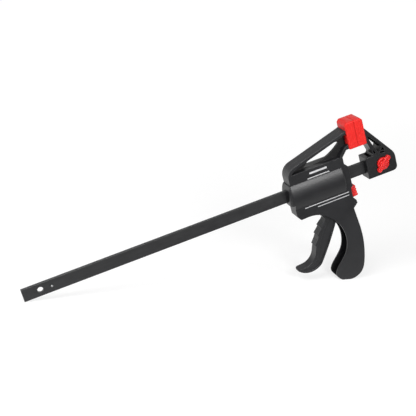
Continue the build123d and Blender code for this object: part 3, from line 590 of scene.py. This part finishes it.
# each ring is a circle by radius and height: out along the sleeve, in over the top, back down the bore
def discRows(plan):
    c, s = circleOf(plan)
    sleeve, flange, radius, bore = plan["sleeve"], plan["flange"], plan["radius"], plan["bore"]
    top, rim, dish, ease = plan["discTop"], plan["rim"], plan["dish"], plan["dishEase"]
    profile = [(sleeve, plan["inside"]), (sleeve, plan["floor"]), (flange, plan["floor"])]
    profile += [(flange, plan["step"]), (radius, plan["step"])]
    profile += [(radius - rim * inward, top - rim * below) for inward, below in quarter(plan["arc"])]
    inner, drops = radius - rim - plan["rimTop"], (0.0, ease[0], dish - ease[1], dish)
    profile += [(inner - inward, top - drop) for inward, drop in zip(plan["dishWall"], drops, strict=True)]
    profile += [(bore, top - dish), (bore, plan["inside"])]
    cx, cz = plan["centre"]
    return np.array([np.column_stack([cx + r * c, np.full(len(c), -h), cz + r * s]) for r, h in profile])


# each ring is a circle drawn out along a spine by a clipped cosine, narrowed by a bell curve at its
# middle and turned by the wing's angle; the pockets sink by a smooth step past the bridge
def wingRows(plan):
    c, s = circleOf(plan)
    half, run = plan["wingWidth"] / 2, (plan["wingLength"] - plan["wingWidth"]) / 2
    spine = np.clip(c * plan["straightness"], -1, 1) * run
    waist = 1 - plan["waist"] * np.exp(-((spine / run) ** 2) * plan["waistSpread"])
    base, top, edge = plan["discTop"] - plan["dish"] - plan["wingSeat"], plan["wingTop"], plan["wingEdge"]
    bridge, wide = plan["bridge"][0], plan["bridge"][1] - plan["bridge"][0]
    angle = radians(plan["wingAngle"])
    cx, cz = plan["centre"]
    rows = []

    def ring(u, v, height):
        x, z = u * cos(angle) - v * sin(angle), u * sin(angle) + v * cos(angle)
        rows.append(np.column_stack([cx + x, np.broadcast_to(-height, len(x)), cz + z]))

    for height in (plan["boreEnd"], base):
        ring(plan["bore"] * c, plan["bore"] * s, height)
    # the inset, height and share of the pockets' depth of each ring, in over the top to the spine
    profile = [(0.0, base, 0.0)]
    profile += [(edge * inward, top - edge * below, 0.0) for inward, below in quarter(plan["arc"])]
    profile += [(edge + plan["sinkRim"] + inward, top, share) for inward, share in plan["sinkWall"]]
    profile += [(half - plan["sinkEnd"], top, 1.0)]
    for inset, height, share in profile:
        u, v = spine + (half - inset) * c, (half - inset) * s * waist
        past = np.clip((np.abs(u) - bridge) / wide, 0, 1)
        ring(u, v, height - plan["sink"] * share * past * past * (3 - 2 * past))
    return np.array(rows)


knobStacks = [discRows(knobPlan), wingRows(knobPlan)]
makePiece("turnKnobCap", knobStacks, "redPlastic", "turn_knob", ["lock_knob"], bored=[0])
print("knob made")


# springs: the same coils, copied and carried by their bodies
springPlans = {
    "driveSpringCoil": {
        "node": "drive_spring", "body": "housing", "joint": "trigger_squeeze",
        "axis": (1, 0, 0), "anchor": (-0.1034, 0, 0), "keep": 0.79,
    },
    "brakeSpringCoil": {
        "node": "brake_spring", "body": "housing", "joint": "brake_release",
        "axis": (1, 0, 0), "anchor": (-0.0369, 0, 0), "keep": 0.68,
    },
    "lockSpringCoil": {
        "node": "lock_spring", "body": "turn_knob", "joint": "pin_retract",
        "axis": (0, 1, 0), "anchor": (0.031, -0.0143, 0), "keep": 0.38,
    },
}
for name, plan in springPlans.items():
    coil = addObject(name, nodes[plan["node"]].data.copy())
    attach(coil, plan["body"])
    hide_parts(plan["node"])
    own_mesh(coil)
print("springs made")


# floor: it leans in the clamp's frame, because the clamp stands on the bar's tail and the grip's foot
floorPlan = {
    "lean": 18.0, "tail": (-0.4875, -0.00875), "gap": 0.0003, "half": 4.0, "shade": 0.31, "plain": 0.8,
    "far": (0.05, 1.3), "glow": (0.71, 0.89), "fade": (-0.30, 0.05), "mirrored": (0.28, 1.0),
}


def addFloor(plan):
    lean = radians(plan["lean"])
    along = Vector((cos(lean), 0, -sin(lean))) * plan["half"]
    across = Vector((0, plan["half"], 0))
    normal = Vector((sin(lean), 0, cos(lean)))
    centre = Vector((plan["tail"][0], 0, plan["tail"][1])) - plan["gap"] * normal
    corners = [centre + a * along + b * across for a, b in ((-1, -1), (1, -1), (1, 1), (-1, 1))]
    mesh = bpy.data.meshes.new("floor")
    mesh.from_pydata([tuple(corner) for corner in corners], [], [(0, 1, 2, 3)])
    obj = addObject("floor", mesh)
    mat, tree = newMaterial("paleFloor")
    depth = axes(tree, objectPlace(tree))["Y"]

    def diffuse(level):
        return addNode(tree, "ShaderNodeBsdfDiffuse", Color=(level,) * 3).outputs[0]

    def emission(levels, span):
        level = spread(tree, depth, *span, *levels)
        return addNode(tree, "ShaderNodeEmission", Color=(1, 1, 1), Strength=level).outputs[0]

    # its own glow rises with depth as the lamps' light falls, so that the backdrop stays even
    shade, glow = diffuse(plan["shade"]), emission(plan["glow"], plan["far"])
    seen = addNode(tree, "ShaderNodeAddShader", i0=shade, i1=glow).outputs[0]
    top = byRay(tree, seen, emission(plan["mirrored"], plan["fade"]), diffuse(plan["plain"]))
    # from below it lets everything through
    below = addNode(tree, "ShaderNodeNewGeometry").outputs["Backfacing"]
    clear = addNode(tree, "ShaderNodeBsdfTransparent").outputs[0]
    both = mixShader(tree, below, top, clear)
    tree.links.new(both, addNode(tree, "ShaderNodeOutputMaterial").inputs[0])
    mesh.materials.append(mat)


addFloor(floorPlan)


# light: a soft lamp high on the left, a smaller one in front on the right, and a pale room that is
# mirrored as a white sweep low behind the clamp and darker above
lampPlans = {
    "highLeft": {"place": (-0.58, -0.53, 1.09), "aim": (-0.08, 0.0, 0.0), "size": 0.8, "power": 13.0},
    "frontRight": {"place": (0.20, -1.15, 0.57), "aim": (-0.05, 0.0, 0.0), "size": 0.48, "power": 10.0},
}
roomPlan = {"seen": 1.0, "plain": 0.36, "bend": (0.20, 0.45), "mirrored": (1.0, 0.30)}


def addLamp(name, plan):
    data = bpy.data.lights.new(name, "AREA")
    data.shape = "DISK"
    data.size = plan["size"]
    data.energy = plan["power"]
    place, aim = Vector(plan["place"]), Vector(plan["aim"])
    turn = (aim - place).to_track_quat("-Z", "Y").to_matrix().to_4x4()
    addObject(name, data).matrix_world = Matrix.Translation(place) @ turn


def addRoom(plan):
    room = bpy.data.worlds.new("room")
    room.use_nodes = True
    tree = room.node_tree
    tree.nodes.clear()
    rise = axes(tree, addNode(tree, "ShaderNodeTexCoord").outputs["Generated"])["Z"]
    mirrored = spread(tree, rise, *plan["bend"], *plan["mirrored"])
    kinds = [
        addNode(tree, "ShaderNodeBackground", Color=(1, 1, 1), Strength=strength).outputs[0]
        for strength in (plan["seen"], mirrored, plan["plain"])
    ]
    tree.links.new(byRay(tree, *kinds), addNode(tree, "ShaderNodeOutputWorld").inputs[0])
    bpy.context.scene.world = room


for name, plan in lampPlans.items():
    addLamp(name, plan)
addRoom(roomPlan)
print("stage lit")
